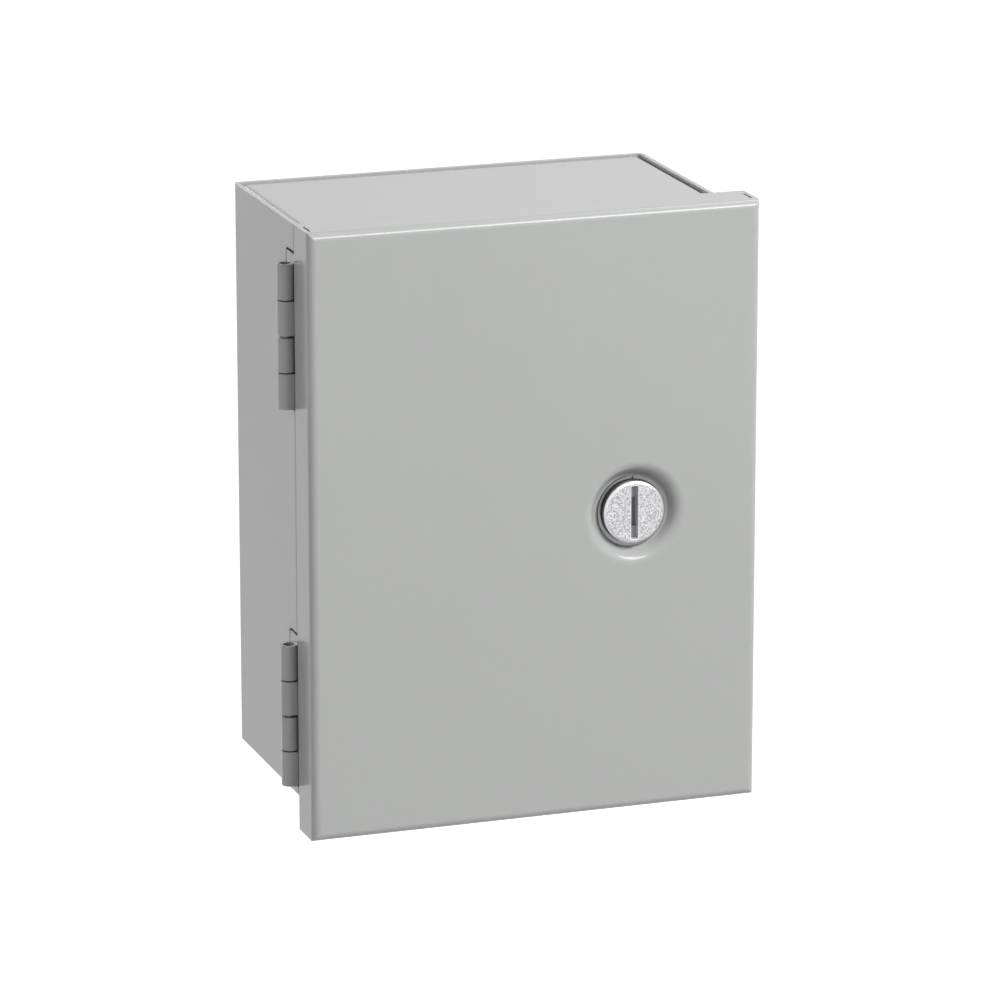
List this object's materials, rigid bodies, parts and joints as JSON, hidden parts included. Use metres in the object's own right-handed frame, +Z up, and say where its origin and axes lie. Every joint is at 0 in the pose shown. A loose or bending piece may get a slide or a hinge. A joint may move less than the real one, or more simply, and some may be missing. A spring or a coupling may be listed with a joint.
{
  "type": "wall-mount electrical enclosure",
  "caption": "Small sheet-steel wall enclosure with a flanged door on two side hinges, a slotted quarter-turn latch in a round dimple, and a subpanel on studs inside.",
  "frame": {"origin": "centre of the back face, on the wall that the enclosure hangs on", "axes": "+X to the right as seen from the front, +Y into the wall, +Z up; the door faces -Y"},
  "size_m": [0.1685, 0.0889, 0.2154],
  "materials": {
    "enclosure_paint": "light grey satin powder coat, fine orange peel",
    "panel_paint": "white satin powder coat",
    "cast_zinc": "sandblasted die-cast zinc alloy",
    "satin_zinc": "dark plated die-cast zinc alloy, satin",
    "zinc_plate": "clear zinc plate",
    "bright_steel": "plain bright steel",
    "plain_steel": "plain steel, dulled",
    "brass": "plain brass"
  },
  "bodies": {
    "body": {"body_wrapper": "enclosure_paint", "top_cap": "enclosure_paint", "bottom_cap": "enclosure_paint", "subpanel": "panel_paint", "panel_studs": "bright_steel", "panel_lock_washers": "zinc_plate", "panel_nuts": "zinc_plate", "ground_stud": "bright_steel", "ground_lock_washer": "zinc_plate", "ground_nut": "brass", "upper_body_leaf": "enclosure_paint", "lower_body_leaf": "enclosure_paint", "upper_hinge_pin": "plain_steel", "lower_hinge_pin": "plain_steel"},
    "door": {"door": "enclosure_paint", "upper_door_leaf": "enclosure_paint", "lower_door_leaf": "enclosure_paint", "latch_housing": "satin_zinc", "latch_tooth_washer": "zinc_plate", "latch_housing_nut": "zinc_plate"},
    "latch": {"latch_spindle": "cast_zinc", "latch_spring_washer": "zinc_plate", "latch_cam": "zinc_plate", "cam_washer": "zinc_plate", "cam_screw": "zinc_plate"}
  },
  "joints": [
    {"name": "door_hinge", "type": "hinge", "parent": "body", "child": "door", "pos_m": [-0.0785, -0.06885, 0], "axis": [0, 0, -1], "range_deg": [0, 180]},
    {"name": "latch_turn", "type": "hinge", "parent": "door", "child": "latch", "pos_m": [0.0413, -0.0834, -0.0058], "axis": [0, -1, 0], "range_deg": [0, 90]}
  ]
}
